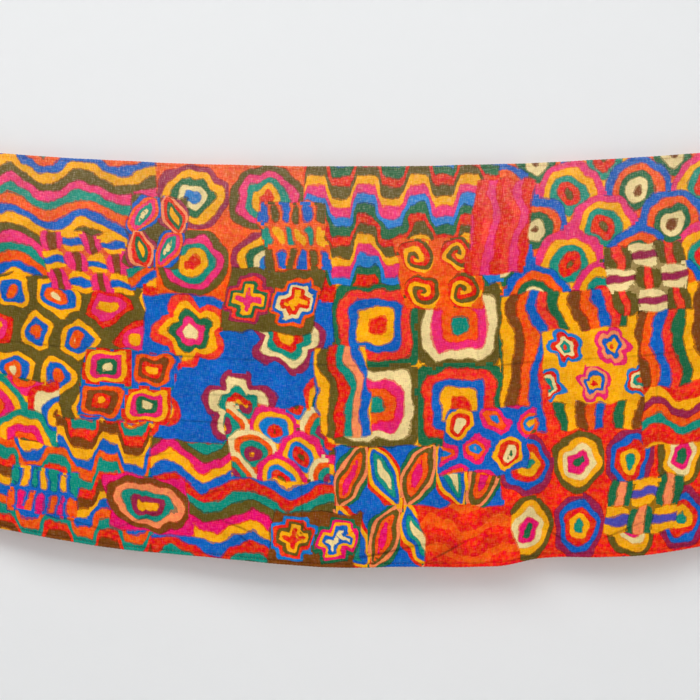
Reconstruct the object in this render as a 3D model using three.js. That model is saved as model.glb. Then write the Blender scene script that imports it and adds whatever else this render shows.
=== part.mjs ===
// A long printed cotton scarf, held up by its two upper corners so that it hangs as a shallow swag.
// It is one rectangle of thin cloth with a narrow rolled hem on each of its four edges.
// Millimetres, +Z up. The cloth hangs in the XZ plane with its printed face towards -Y.
// The origin is the upper left corner, one of the two places where the scarf is held.
import * as THREE from "three";

// The finished cloth, hems included, and its wall.
const CLOTH_LENGTH = 1800;
const CLOTH_WIDTH = 500;
const WALL = 1.4;

// The rolled hems, and the gap that parts them from the cloth.
const HEM_WIDTH = 4;
const HEM_THICKNESS = 2.6;
const SEAM_GAP = 0.4;
const HEM_SIDES = 8;

// How the top edge sags between the held corners, a parabola whose own length is the cloth's.
const SAG = 69;
const SPAN = CLOTH_LENGTH - (8 * SAG * SAG) / (3 * CLOTH_LENGTH);

// How far the cloth stands out towards the viewer in the middle, at its top edge and at its lower edge.
const TOP_STAND = 6;
const LOWER_STAND = 34;
const STAND_REACH = 1900;

// The top edge comes back to the wall over this length before each held corner.
const TOP_EASE = 200;

// The free ends swing inwards below the held corners, faster and faster towards the lower edge.
const END_SWING = 46;
const SWING_REACH = 210;
const SWING_CURVE = 1.5;

// Folds fan out from each held corner, deepest at a set distance from it.
const FAN_FOLDS = 2.6;
const FAN_DEPTH = 6;
const FAN_DISTANCE = 210;
const FAN_SHARPNESS = 2.2;
const FAN_TURN = { left: 0.5, right: 1.9 };

// A second fan makes those folds uneven: its share of their depth and of their number.
const SECOND_FAN = { depth: 0.35, folds: 0.81 };

// The height of the hanging cloth, seen from the front, at places along it.
// along: from the middle of the scarf, to the right. fall: from the top edge to the lower edge.
const FALLS = [
  { along: -900, fall: 441 },
  { along: -700, fall: 452 },
  { along: -437, fall: 470 },
  { along: -287, fall: 486 },
  { along: -137, fall: 493 },
  { along: -30, fall: 501 },
  { along: 70, fall: 500 },
  { along: 180, fall: 502 },
  { along: 240, fall: 495 },
  { along: 362, fall: 498 },
  { along: 437, fall: 493 },
  { along: 700, fall: 474 },
  { along: 900, fall: 458 },
];

// Soft flutes that stand out at the lower edge and fade upwards.
// half_width: where a flute has nearly ended. depth: towards the viewer, or back if negative.
// rise: how far up the cloth it reaches.
const FLUTES = [
  { along: -640, half_width: 85, depth: 11, rise: 330 },
  { along: -520, half_width: 70, depth: -8, rise: 280 },
  { along: -395, half_width: 80, depth: 7, rise: 300 },
  { along: -250, half_width: 75, depth: -5, rise: 220 },
  { along: -120, half_width: 60, depth: 6, rise: 190 },
  { along: -30, half_width: 45, depth: -4, rise: 160 },
  { along: 75, half_width: 70, depth: 6, rise: 180 },
  { along: 205, half_width: 36, depth: 8, rise: 150 },
  { along: 262, half_width: 40, depth: -7, rise: 170 },
  { along: 385, half_width: 80, depth: 5, rise: 260 },
  { along: 520, half_width: 75, depth: -9, rise: 290 },
  { along: 650, half_width: 80, depth: 10, rise: 340 },
];

// Slanting drag folds, each a soft ridge or, with a negative depth, a trough.
// down: from the top edge. tilt: in degrees, up to the right. reach: half its length.
const DRAG_FOLDS = [
  { along: -560, down: 250, tilt: -34, reach: 150, half_width: 34, depth: 7 },
  { along: -610, down: 140, tilt: -22, reach: 130, half_width: 30, depth: -6 },
  { along: -350, down: 400, tilt: -18, reach: 110, half_width: 30, depth: 5 },
  { along: -190, down: 440, tilt: -24, reach: 80, half_width: 26, depth: 5 },
  { along: 45, down: 455, tilt: 11, reach: 85, half_width: 24, depth: 6 },
  { along: 130, down: 440, tilt: 28, reach: 50, half_width: 22, depth: -4 },
  { along: 268, down: 430, tilt: -30, reach: 60, half_width: 22, depth: 6 },
  { along: 420, down: 380, tilt: 20, reach: 100, half_width: 30, depth: -5 },
  { along: 575, down: 260, tilt: 33, reach: 150, half_width: 34, depth: 7 },
  { along: 620, down: 130, tilt: 20, reach: 120, half_width: 30, depth: -6 },
];

// The sections through the cloth: closer together near the held ends, where the folds are closest.
const END_ZONE = 300;
const END_STEPS = 20;
const MIDDLE_STEPS = 52;
const DOWN_STEPS = 22;

const INK_RED = 0xd8432b;
const INK_ORANGE = 0xee6a34;

const clamp01 = (x) => Math.min(1, Math.max(0, x));
const smooth = (x) => clamp01(x) ** 2 * (3 - 2 * clamp01(x));
const bell = (x) => Math.exp(-2 * x * x);

// The fall at a place along the scarf: a smooth curve through the rows of FALLS.
function fallAt(along) {
  const last = FALLS.length - 1;
  let i = FALLS.findIndex((row) => row.along >= along);
  i = Math.min(last, Math.max(1, i < 0 ? last : i));
  const at = (k) => FALLS[Math.min(last, Math.max(0, k))];
  const slope = (k) =>
    (at(k + 1).fall - at(k - 1).fall) / (at(k + 1).along - at(k - 1).along);
  const a = at(i - 1);
  const b = at(i);
  const step = b.along - a.along;
  const s = clamp01((along - a.along) / step);
  return (
    a.fall * (2 * s ** 3 - 3 * s ** 2 + 1) +
    b.fall * (3 * s ** 2 - 2 * s ** 3) +
    slope(i - 1) * step * (s ** 3 - 2 * s ** 2 + s) +
    slope(i) * step * (s ** 3 - s ** 2)
  );
}

// How far the folds that fan out from a held corner stand out. out: from the end, along the cloth.
function fan(out, down, turn) {
  const distance = Math.hypot(out, down) / FAN_DISTANCE;
  const angle = Math.atan2(down, out) / (Math.PI / 2);
  const swell = (distance * Math.exp(1 - distance)) ** FAN_SHARPNESS;
  const turns = 2 * Math.PI * FAN_FOLDS * angle;
  const first = Math.sin(turns + turn);
  const second = SECOND_FAN.depth * Math.sin(turns * SECOND_FAN.folds + turn);
  return FAN_DEPTH * swell * (first + second);
}

// How far the cloth stands out towards the viewer.
function standOut(along, down) {
  const share = down / CLOTH_WIDTH;
  const toEnd = CLOTH_LENGTH / 2 - Math.abs(along);
  const swell = Math.cos((Math.PI * along) / STAND_REACH);
  let out = swell * (TOP_STAND + (LOWER_STAND - TOP_STAND) * smooth(share));
  out -= TOP_STAND * swell * (1 - smooth(toEnd / TOP_EASE));
  for (const flute of FLUTES) {
    const height = (CLOTH_WIDTH - down) / flute.rise;
    out += flute.depth * bell((along - flute.along) / flute.half_width) * bell(height);
  }
  for (const fold of DRAG_FOLDS) {
    const tilt = THREE.MathUtils.degToRad(fold.tilt);
    const right = along - fold.along;
    const up = fold.down - down;
    const lengthways = right * Math.cos(tilt) + up * Math.sin(tilt);
    const across = up * Math.cos(tilt) - right * Math.sin(tilt);
    out += fold.depth * bell(lengthways / fold.reach) * bell(across / fold.half_width);
  }
  out += fan(along + CLOTH_LENGTH / 2, down, FAN_TURN.left);
  out += fan(CLOTH_LENGTH / 2 - along, down, FAN_TURN.right);
  return out;
}

// A point of the cloth's middle surface, from its place on the flat cloth:
// along, from the middle to the right, and down, from the top edge.
function clothPoint(along, down) {
  const share = down / CLOTH_WIDTH;
  const toEnd = CLOTH_LENGTH / 2 - Math.abs(along);
  const swing = END_SWING * Math.exp(-toEnd / SWING_REACH) * clamp01(share) ** SWING_CURVE;
  const x = SPAN * (along / CLOTH_LENGTH + 0.5) - Math.sign(along) * swing;
  const top = -SAG * (1 - ((2 * along) / CLOTH_LENGTH) ** 2);
  return new THREE.Vector3(x, -standOut(along, down), top - fallAt(along) * share);
}

// The same point moved out from the surface, towards the back of the cloth if offset is negative.
function clothPointOut(along, down, offset) {
  const step = 0.5;
  const right = clothPoint(along + step, down).sub(clothPoint(along - step, down));
  const lower = clothPoint(along, down + step).sub(clothPoint(along, down - step));
  const normal = lower.cross(right).normalize();
  return clothPoint(along, down).addScaledVector(normal, offset);
}

// Evenly spaced values from a to b, both included.
const spaced = (a, b, steps) =>
  Array.from({ length: steps + 1 }, (_, i) => a + ((b - a) * i) / steps);

// A closed solid lofted through rings of points. The first half of a ring runs along one side of
// the wall and the second half comes back along the other side, so that a cap is a strip.
function loft(rings) {
  const ringSize = rings[0].length;
  const corners = rings.flat();
  const index = [];
  // Two triangles for each quad. They meet along the diagonal that follows the folds, which fall
  // to the right on the scarf's left half and to the left on its right half.
  const slant = (a, b) => (b.x - a.x) * (b.z - a.z);
  const quad = (a, b, c, d) => {
    const [pa, pb, pc, pd] = [a, b, c, d].map((k) => corners[k]);
    const onLeft = pa.x < SPAN / 2;
    if (slant(pa, pc) < slant(pb, pd) === onLeft) {
      index.push(a, b, c, a, c, d);
    } else {
      index.push(a, b, d, b, c, d);
    }
  };
  for (let i = 0; i < rings.length - 1; i++) {
    for (let j = 0; j < ringSize; j++) {
      const next = (j + 1) % ringSize;
      const here = i * ringSize;
      const there = here + ringSize;
      quad(here + j, here + next, there + next, there + j);
    }
  }
  const lastRing = (rings.length - 1) * ringSize;
  for (let j = 0; j < ringSize / 2 - 1; j++) {
    const k = ringSize - 1 - j;
    quad(j, k, k - 1, j + 1);
    quad(lastRing + j, lastRing + j + 1, lastRing + k - 1, lastRing + k);
  }
  const points = corners.flatMap((p) => p.toArray());
  const geometry = new THREE.BufferGeometry();
  geometry.setAttribute("position", new THREE.Float32BufferAttribute(points, 3));
  geometry.setIndex(index);
  geometry.computeVertexNormals();
  return geometry;
}

// Places along the scarf where a section is taken, between two ends.
function stations(from, to) {
  const inner = CLOTH_LENGTH / 2 - END_ZONE;
  return [
    ...spaced(from, -inner, END_STEPS),
    ...spaced(-inner, inner, MIDDLE_STEPS).slice(1, -1),
    ...spaced(inner, to, END_STEPS),
  ];
}

// The cloth itself: a ring at each station, down the printed face and up the back.
function clothPanel() {
  const inset = HEM_WIDTH + SEAM_GAP;
  const downs = spaced(inset, CLOTH_WIDTH - inset, DOWN_STEPS);
  const rings = stations(inset - CLOTH_LENGTH / 2, CLOTH_LENGTH / 2 - inset).map((along) => [
    ...downs.map((down) => clothPointOut(along, down, WALL / 2)),
    ...downs.toReversed().map((down) => clothPointOut(along, down, -WALL / 2)),
  ]);
  return loft(rings);
}

// The rounded section of a rolled hem: how far across the hem, and how far out, each point lies.
// Points 0 to HEM_SIDES / 2 - 1 are on the printed face.
const HEM_SECTION = Array.from({ length: HEM_SIDES }, (_, k) => {
  const angle = (2 * Math.PI * (k + 0.5)) / HEM_SIDES;
  return {
    across: (HEM_WIDTH / 2) * (1 - Math.cos(angle) / Math.cos(Math.PI / HEM_SIDES)),
    out: (HEM_THICKNESS / 2) * Math.sin(angle),
  };
});

// A hem along the top or lower edge, over the scarf's full length. near: where it starts, down the cloth.
function longHem(near) {
  const ends = CLOTH_LENGTH / 2;
  const rings = stations(-ends, ends).map((along) =>
    HEM_SECTION.map(({ across, out }) => clothPointOut(along, near + across, out)),
  );
  return loft(rings);
}

// A hem down one end, between the two long hems. near: where it starts, along the cloth.
function endHem(near) {
  const inset = HEM_WIDTH + SEAM_GAP;
  const rings = spaced(CLOTH_WIDTH - inset, inset, DOWN_STEPS).map((down) =>
    HEM_SECTION.map(({ across, out }) => clothPointOut(near + across, down, out)),
  );
  return loft(rings);
}

function cottonMesh(name, geometry, color) {
  const material = new THREE.MeshStandardMaterial({ color, roughness: 0.9, metalness: 0 });
  const mesh = new THREE.Mesh(geometry, material);
  mesh.name = name;
  return mesh;
}

const hems = new THREE.Group();
hems.add(
  cottonMesh("hem_top", longHem(0), INK_ORANGE),
  cottonMesh("hem_bottom", longHem(CLOTH_WIDTH - HEM_WIDTH), INK_ORANGE),
  cottonMesh("hem_left", endHem(-CLOTH_LENGTH / 2), INK_ORANGE),
  cottonMesh("hem_right", endHem(CLOTH_LENGTH / 2 - HEM_WIDTH), INK_ORANGE),
);

const scarf = new THREE.Group();
scarf.add(cottonMesh("cloth_panel", clothPanel(), INK_RED), hems);

export default scarf;
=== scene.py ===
import math

import bmesh
import bpy
import numpy as np
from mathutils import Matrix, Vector


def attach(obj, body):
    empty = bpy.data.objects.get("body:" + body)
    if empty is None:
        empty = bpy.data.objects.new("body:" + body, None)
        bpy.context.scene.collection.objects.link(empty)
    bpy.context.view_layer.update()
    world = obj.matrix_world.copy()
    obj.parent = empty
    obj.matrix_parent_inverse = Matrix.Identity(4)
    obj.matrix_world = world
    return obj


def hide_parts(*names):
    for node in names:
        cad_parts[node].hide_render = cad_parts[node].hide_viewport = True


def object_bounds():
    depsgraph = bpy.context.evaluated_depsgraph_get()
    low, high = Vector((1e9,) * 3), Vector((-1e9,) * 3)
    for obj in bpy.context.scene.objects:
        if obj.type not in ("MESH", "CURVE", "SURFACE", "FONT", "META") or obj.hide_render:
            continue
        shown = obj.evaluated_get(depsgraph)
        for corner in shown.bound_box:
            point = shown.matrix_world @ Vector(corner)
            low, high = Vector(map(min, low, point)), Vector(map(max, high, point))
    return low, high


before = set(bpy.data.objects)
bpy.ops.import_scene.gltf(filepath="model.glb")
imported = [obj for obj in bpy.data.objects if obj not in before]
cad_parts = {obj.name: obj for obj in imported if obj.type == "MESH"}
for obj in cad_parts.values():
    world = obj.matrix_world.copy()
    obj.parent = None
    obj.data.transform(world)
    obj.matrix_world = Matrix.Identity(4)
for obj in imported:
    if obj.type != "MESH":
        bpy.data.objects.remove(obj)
cad_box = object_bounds()

# The camera faces the middle of the scarf squarely, with a long lens, and both ends of the cloth
# run out of the picture. Its place follows from the width of cloth that the picture takes in.
MM = 0.001
SCARF_MIDDLE = (cad_box[0].x + cad_box[1].x) / 2
PICTURE_WIDTH = 873 * MM
PICTURE_LEVEL = -300 * MM
CLOTH_FRONT = -22 * MM
LENS = 85
SENSOR = 36

camera_data = bpy.data.cameras.new("camera")
camera_data.lens = LENS
camera_data.sensor_width = SENSOR
camera = bpy.data.objects.new("camera", camera_data)
camera.location = (
    SCARF_MIDDLE,
    CLOTH_FRONT - PICTURE_WIDTH * LENS / SENSOR,
    PICTURE_LEVEL,
)
camera.rotation_euler = (math.radians(90), 0, 0)
bpy.context.scene.collection.objects.link(camera)
bpy.context.scene.camera = camera

# The form of the hanging cloth: a thin plain-weave cotton, 180 by 50 cm, that sags between its two
# held corners and stands out from the wall towards its lower edge, in soft flutes and drag folds.
# A place on it is given flat, in mm: along, from the middle to the right, and down from the top.
CLOTH_LENGTH = 1800
CLOTH_WIDTH = 500
SAG = 69
SPAN = CLOTH_LENGTH - 8 * SAG**2 / (3 * CLOTH_LENGTH)
TOP_STAND = 6
LOWER_STAND = 34
STAND_REACH = 1900
TOP_EASE = 200
END_SWING = 46
SWING_REACH = 210
SWING_CURVE = 1.5
FAN_FOLDS = 2.6
FAN_DEPTH = 6
FAN_DISTANCE = 210
FAN_SHARPNESS = 2.2
FAN_TURN_LEFT = 0.5
FAN_TURN_RIGHT = 1.9
SECOND_FAN_DEPTH = 0.35
SECOND_FAN_FOLDS = 0.81

# The height of the hanging cloth, seen from the front. Columns: along, fall.
FALLS = [
    (-900, 441),
    (-700, 452),
    (-437, 470),
    (-287, 486),
    (-137, 493),
    (-30, 501),
    (70, 500),
    (180, 502),
    (240, 495),
    (362, 498),
    (437, 493),
    (700, 474),
    (900, 458),
]

# Soft flutes at the lower edge. Columns: along, half_width, depth, rise.
FLUTES = [
    (-640, 85, 11, 330),
    (-520, 70, -8, 280),
    (-395, 80, 7, 300),
    (-250, 75, -5, 220),
    (-120, 60, 6, 190),
    (-30, 45, -4, 160),
    (75, 70, 6, 180),
    (205, 36, 8, 150),
    (262, 40, -7, 170),
    (385, 80, 5, 260),
    (520, 75, -9, 290),
    (650, 80, 10, 340),
]

# Folds and creases: each is a ridge or, with a negative depth, a trough, in its own size.
# Columns: along, down, tilt in degrees (up to the right), reach (half its length), how wide it is
# on its upper side and on its lower side, and depth. A narrow lower side makes a sharp edge.
FOLDS = [
    (-560, 250, -34, 150, 34, 34, 7),
    (-610, 140, -22, 130, 30, 30, -6),
    (-350, 400, -18, 110, 30, 30, 5),
    (-190, 440, -24, 80, 26, 26, 5),
    (45, 455, 11, 85, 24, 24, 6),
    (130, 440, 28, 50, 22, 22, -4),
    (268, 430, -30, 60, 22, 22, 6),
    (420, 380, 20, 100, 30, 30, -5),
    (575, 260, 33, 150, 34, 34, 7),
    (620, 130, 20, 120, 30, 30, -6),
    # The long fold near the lower edge, and the short ones that answer it.
    (46, 477, 10.5, 62, 20, 4.5, 3.6),
    (121, 476, 28, 27, 14, 4.5, 2.6),
    (264, 470, -31, 20, 12, 5, 2.2),
    (-138, 454, -15, 24, 12, 5, 2.2),
    (-129, 470, -39, 14, 9, 5, 1.8),
    (-170, 412, 22, 24, 10, 5, 1.4),
    (-268, 455, 24, 40, 16, 6, 1.6),
    (-330, 470, -12, 46, 14, 6, -1.5),
    (342, 462, 18, 38, 16, 6, 1.5),
    (402, 474, -22, 26, 12, 5, -1.4),
    # Small wrinkles across the left half of the middle.
    (-150, 290, 2, 58, 6, 5, 0.9),
    (-192, 325, -3, 44, 6, 5, -1.2),
    (-134, 344, 4, 50, 6, 5, 0.9),
    (-255, 372, 9, 40, 8, 6, 0.9),
    (188, 396, -8, 46, 9, 6, 0.8),
    # The same kinds of fold on the stretches outside the picture.
    (-520, 466, 14, 60, 18, 5, 2.8),
    (-700, 432, -20, 52, 16, 6, 2.4),
    (-792, 300, -48, 70, 18, 8, 2.6),
    (-840, 180, -62, 60, 16, 8, -2.0),
    (540, 462, -16, 58, 18, 5, 2.8),
    (706, 430, 22, 50, 16, 6, 2.2),
    (800, 292, 50, 70, 18, 8, -2.6),
    (846, 170, 64, 60, 16, 8, 2.0),
]

# How far a fold's line bends over its reach, the length of its small waves over 2 pi, and the most
# that it strays.
FOLD_BEND = 0.04
FOLD_WAVE = 15
FOLD_STRAY = 4

# Creases from being folded away: one at mid-height over the whole length, and upright ones.
# Columns for the upright ones: along, down, reach, depth.
LONG_CREASE = {"down": 250, "depth": 0.9}
UPRIGHT_CREASES = [
    (-737, 250, 260, 0.8),
    (-512, 270, 240, -0.8),
    (-287, 200, 180, 0.5),
    (-62, 420, 95, 1.3),
    (163, 230, 150, -0.5),
    (388, 290, 190, 0.7),
    (613, 250, 250, -0.8),
]
CREASE_HALF_WIDTH = 5.5

# How far the long crease's line and the upright ones' wander, and the length of those waves over
# 2 pi.
LONG_WANDER = (2.5, 130)
UPRIGHT_WANDER = (2, 60)

# Faint unevenness of washed cotton, in two sets of waves.
CRUMPLES = [
    {"height": 0.75, "longest": 260, "shortest": 110, "waves": 16},
    {"height": 0.20, "longest": 90, "shortest": 34, "waves": 26},
]

REPEAT = 900
creasing_hand = np.random.default_rng(5)


def smooth(x):
    """Eases from 0 to 1 as x goes from 0 to 1."""
    x = np.clip(x, 0, 1)
    return x * x * (3 - 2 * x)


def bell(x):
    """1 in the middle, and nearly 0 one and a half half-widths away from it."""
    return np.exp(-2 * x * x)


def waves(longest, shortest, count, hand):
    """Random waves, each with its turns across and down one repeat, and its start."""
    made = []
    for _ in range(count):
        turns = REPEAT / math.exp(hand.uniform(math.log(shortest), math.log(longest)))
        slope = hand.uniform(0, 2 * math.pi)
        start = hand.uniform(0, 2 * math.pi)
        made.append((round(turns * math.cos(slope)), turns * math.sin(slope), start))
    return made


def unsteady(x, y, made):
    """A smooth random field of about -1 to 1, the sum of those waves."""
    total = sum(
        np.sin(2 * math.pi * (across * x + down * y) / REPEAT + start)
        for across, down, start in made
    )
    return total / math.sqrt(len(made) / 2)


for crumple in CRUMPLES:
    sizes = (crumple["longest"], crumple["shortest"], crumple["waves"])
    crumple["made"] = waves(*sizes, creasing_hand)


def fall_at(along):
    """The height of the hanging cloth, on a smooth curve through the rows of FALLS."""
    places = np.array([row[0] for row in FALLS], float)
    falls = np.array([row[1] for row in FALLS], float)
    before = np.clip(np.arange(len(FALLS)) - 1, 0, None)
    after = np.clip(np.arange(len(FALLS)) + 1, None, len(FALLS) - 1)
    slopes = (falls[after] - falls[before]) / (places[after] - places[before])
    k = np.clip(np.searchsorted(places, along) - 1, 0, len(FALLS) - 2)
    step = places[k + 1] - places[k]
    s = np.clip((along - places[k]) / step, 0, 1)
    return (
        falls[k] * (2 * s**3 - 3 * s**2 + 1)
        + falls[k + 1] * (3 * s**2 - 2 * s**3)
        + slopes[k] * step * (s**3 - 2 * s**2 + s)
        + slopes[k + 1] * step * (s**3 - s**2)
    )


def fan(out, down, turn):
    """The folds that fan out from a held corner. out is the distance from the end."""
    distance = np.hypot(out, down) / FAN_DISTANCE
    swell = (distance * np.exp(1 - distance)) ** FAN_SHARPNESS
    turns = 2 * math.pi * FAN_FOLDS * np.arctan2(down, out) / (math.pi / 2)
    second = SECOND_FAN_DEPTH * np.sin(turns * SECOND_FAN_FOLDS + turn)
    return FAN_DEPTH * swell * (np.sin(turns + turn) + second)


def fold_place(fold, along, down):
    """How far along a fold each place lies, and how far above its line, which wanders a little."""
    place, level, tilt, reach = fold[:4]
    angle = math.radians(tilt)
    right = along - place
    up = level - down
    lengthways = right * math.cos(angle) + up * math.sin(angle)
    across = up * math.cos(angle) - right * math.sin(angle)
    bend = FOLD_BEND * reach * (lengthways / reach) ** 2
    bend = bend + np.sin(lengthways / FOLD_WAVE + place)
    return lengthways, across + np.clip(bend, -FOLD_STRAY, FOLD_STRAY)


def below_long_crease(along, down):
    """How far each place lies below the long crease, whose line wanders by a few mm."""
    wander, wave = LONG_WANDER
    return down - LONG_CREASE["down"] - wander * np.sin(along / wave)


def beside_upright_crease(place, along, down):
    """How far each place lies to the right of an upright crease, whose line wanders too."""
    wander, wave = UPRIGHT_WANDER
    return along - place - wander * np.sin(down / wave)


def stand_out(along, down):
    """How far the cloth stands out from the wall's side towards the viewer."""
    to_end = CLOTH_LENGTH / 2 - np.abs(along)
    swell = np.cos(math.pi * along / STAND_REACH)
    out = swell * (TOP_STAND + (LOWER_STAND - TOP_STAND) * smooth(down / CLOTH_WIDTH))
    out = out - TOP_STAND * swell * (1 - smooth(to_end / TOP_EASE))
    for place, half_width, depth, rise in FLUTES:
        height = (CLOTH_WIDTH - down) / rise
        out = out + depth * bell((along - place) / half_width) * bell(height)
    for fold in FOLDS:
        reach, upper, lower, depth = fold[3:]
        lengthways, across = fold_place(fold, along, down)
        half_width = np.where(across > 0, upper, lower)
        out = out + depth * bell(lengthways / reach) * bell(across / half_width)
    held_in = smooth(to_end / FAN_DISTANCE)
    across = below_long_crease(along, down) / CREASE_HALF_WIDTH
    out = out + LONG_CREASE["depth"] * held_in * bell(across)
    for place, level, reach, depth in UPRIGHT_CREASES:
        across = beside_upright_crease(place, along, down) / CREASE_HALF_WIDTH
        out = out + depth * bell(across) * bell((down - level) / reach)
    for crumple in CRUMPLES:
        out = out + crumple["height"] * unsteady(along, down, crumple["made"])
    out = out + fan(along + CLOTH_LENGTH / 2, down, FAN_TURN_LEFT)
    out = out + fan(CLOTH_LENGTH / 2 - along, down, FAN_TURN_RIGHT)
    return out


def cloth_point(along, down):
    """The middle of the cloth in the frame, in metres, from its place on the flat cloth."""
    share = down / CLOTH_WIDTH
    to_end = CLOTH_LENGTH / 2 - np.abs(along)
    swing = END_SWING * np.exp(-to_end / SWING_REACH) * np.clip(share, 0, 1) ** SWING_CURVE
    x = SPAN * (along / CLOTH_LENGTH + 0.5) - np.sign(along) * swing
    top = -SAG * (1 - (2 * along / CLOTH_LENGTH) ** 2)
    return np.stack([x, -stand_out(along, down), top - fall_at(along) * share], -1) * MM


def cloth_point_out(along, down, out):
    """The same point moved out of the surface by out mm, towards the printed face."""
    step = 0.5
    right = cloth_point(along + step, down) - cloth_point(along - step, down)
    lower = cloth_point(along, down + step) - cloth_point(along, down - step)
    normal = np.cross(lower, right)
    normal /= np.linalg.norm(normal, axis=-1, keepdims=True)
    return cloth_point(along, down) + normal * np.asarray(out)[..., None] * MM


# The print: a patchwork of hand-painted blocks in bright inks, screen printed on the cloth's face.
# One repeat of it is painted here on a lattice of cells, a patch at a time, as a designer would on
# paper. The inks themselves are mixed in the cotton's material below.
CELL = 4.5
PRINT_COLUMNS = round(REPEAT / CELL)
PRINT_ROWS = round(CLOTH_WIDTH / CELL)
BANDS = 6
EVERYWHERE = 50.0
NOWHERE = -50.0

# A cell that comes within OUTLINE_REACH of an outline holds both sides of it. The outer blocks run
# on by PRINT_BLEED past the edges of the repeat.
OUTLINE_REACH = 1.6
PRINT_BLEED = 12

# How far the painter's hand strays, and the longest wave, shortest wave and count of its waves.
UNSTEADY_HAND = 1.7
HAND_WAVES = (90, 22, 14)

# A band's number is kept clear of the outer ends of the first and the last band, so that a plain
# ground shows no specks of the next ink. ABOVE_ZERO keeps the numbers of endless stripes above 0.
CLEAR = 0.4
FIRST = CLEAR
LAST = BANDS - CLEAR
INNER_LAST = BANDS - 1 - CLEAR
ABOVE_ZERO = 10 * BANDS

INKS = {
    "red": "#E8331D",
    "orange": "#F9622B",
    "amber": "#FFAE02",
    "pink": "#F03C76",
    "wine": "#A02E50",
    "blue": "#1563BE",
    "violet": "#5552AE",
    "teal": "#028F7B",
    "green": "#1F6A44",
    "olive": "#66561F",
    "umber": "#7F461C",
    "cream": "#F4DA9B",
    "peach": "#FE9566",
    "sky": "#2B80CC",
    "coral": "#F74A3A",
}


def inks(words):
    """The numbers of the inks named, repeated to fill a cycle of bands."""
    names = words.split()
    return np.array([list(INKS).index(names[k % len(names)]) for k in range(BANDS)])


def corners(field):
    """A field's value at the four corners of each cell, from the lattice's points."""
    return np.stack([field[:-1, :-1], field[1:, :-1], field[1:, 1:], field[:-1, 1:]], -1)


painting_hand = np.random.default_rng(11)
columns, rows = np.meshgrid(np.arange(PRINT_COLUMNS + 1), np.arange(PRINT_ROWS + 1))
print_x = columns * CELL
print_y = rows * CLOTH_WIDTH / PRINT_ROWS
shift_x = unsteady(print_x, print_y, waves(*HAND_WAVES, painting_hand))
shift_y = unsteady(print_x, print_y, waves(*HAND_WAVES, painting_hand))
PAINT_X = corners(print_x + UNSTEADY_HAND * shift_x)
PAINT_Y = corners(print_y + UNSTEADY_HAND * shift_y)


def blank():
    """A sheet of cells, all red. Each cell has a ground, and a figure where an outline crosses it.

    Both are a number that rises through bands, and the cycle of inks that the bands take. cut says
    which one shows: the figure where it is above 0. It is in mm from the outline.
    """
    cells = (PRINT_ROWS, PRINT_COLUMNS)
    return {
        "cut": np.full((*cells, 4), NOWHERE),
        "ground": np.full((*cells, 4), 0.5),
        "figure": np.full((*cells, 4), 0.5),
        "ground_inks": np.tile(inks("red"), (*cells, 1)),
        "figure_inks": np.tile(inks("red"), (*cells, 1)),
    }


def paint(sheet, cut, band, colours):
    """Lays a figure over a sheet. cut is above 0 inside its outline, in mm."""
    cells = sheet["cut"].shape
    cut = np.broadcast_to(cut, cells)
    band = np.broadcast_to(band, cells)
    colours = np.broadcast_to(colours, (*cells[:2], BANDS))
    full = (cut.min(-1) > OUTLINE_REACH)[..., None]
    part = (cut.max(-1) > -OUTLINE_REACH)[..., None] & ~full
    outermost = cut.argmin(-1)[..., None]
    covered = part & (np.take_along_axis(sheet["cut"], outermost, -1) > 0)
    for name, new in (("", band), ("_inks", colours)):
        ground = np.where(covered, sheet["figure" + name], sheet["ground" + name])
        sheet["ground" + name] = np.where(full, new, ground)
        sheet["figure" + name] = np.where(part, new, sheet["figure" + name])
    sheet["cut"] = np.where(part, cut, np.where(full, NOWHERE, sheet["cut"]))


def join(sheet, area, patch):
    """Lays a painted patch over a sheet, inside the patch's area."""
    innermost = area.argmax(-1)[..., None]
    on_figure = np.take_along_axis(patch["cut"], innermost, -1) > 0
    edge = (area.min(-1) <= OUTLINE_REACH)[..., None]
    band = np.where(on_figure & edge, patch["figure"], patch["ground"])
    colours = np.where(on_figure & edge, patch["figure_inks"], patch["ground_inks"])
    paint(sheet, area, band, colours)
    inside = ~edge
    for name in ("cut", "figure", "figure_inks"):
        sheet[name] = np.where(inside, patch[name], sheet[name])


def even(length, size):
    """About that size, such that a whole number of them fills the length."""
    return length / max(1, round(length / size))


class Block:
    """One block of the patchwork: its size, and where each cell of the sheet lies in it."""

    def __init__(self, left, top, width, height, lean):
        self.width = width
        self.height = height
        self.y = PAINT_Y - top
        self.x = PAINT_X - left - lean * (self.y / height - 0.5)
        sides = [
            self.x + (PRINT_BLEED if left == 0 else 0),
            self.y + (PRINT_BLEED if top == 0 else 0),
            width - self.x + (PRINT_BLEED if left + width == REPEAT else 0),
            height - self.y + (PRINT_BLEED if top + height == CLOTH_WIDTH else 0),
        ]
        self.area = np.minimum.reduce(sides)

    def grid(self, wide, high, stagger=0.0):
        """Splits the block into like places. Gives each cell's offset from its place's middle."""
        across = even(self.width, wide)
        down = even(self.height, high)
        row = np.floor(self.y.mean(-1, keepdims=True) / down)
        aside = stagger * across * (row % 2)
        column = np.floor((self.x.mean(-1, keepdims=True) - aside) / across)
        x = self.x - aside - (column + 0.5) * across
        y = self.y - (row + 0.5) * down
        return x, y, column, row, across, down


def by_turns(turn, first, second):
    """The first inks at odd places, and the others at even ones."""
    return np.where(turn % 2 == 1, first, second)


def rings(sheet, block, size, first, second):
    """Round targets side by side, each a little oval and dented."""
    bands_across = 10
    x, y, column, row, across, down = block.grid(size, size)
    angle = np.arctan2(y, x)
    oval = 0.25 * np.cos(2 * angle + column + 2 * row)
    dents = 0.16 * np.cos(5 * angle + row)
    middle_out = bands_across * np.hypot(x / across, y / down)
    band = np.clip(middle_out - (oval + dents), FIRST, LAST)
    paint(sheet, EVERYWHERE, band, by_turns(column + row, first, second))


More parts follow.
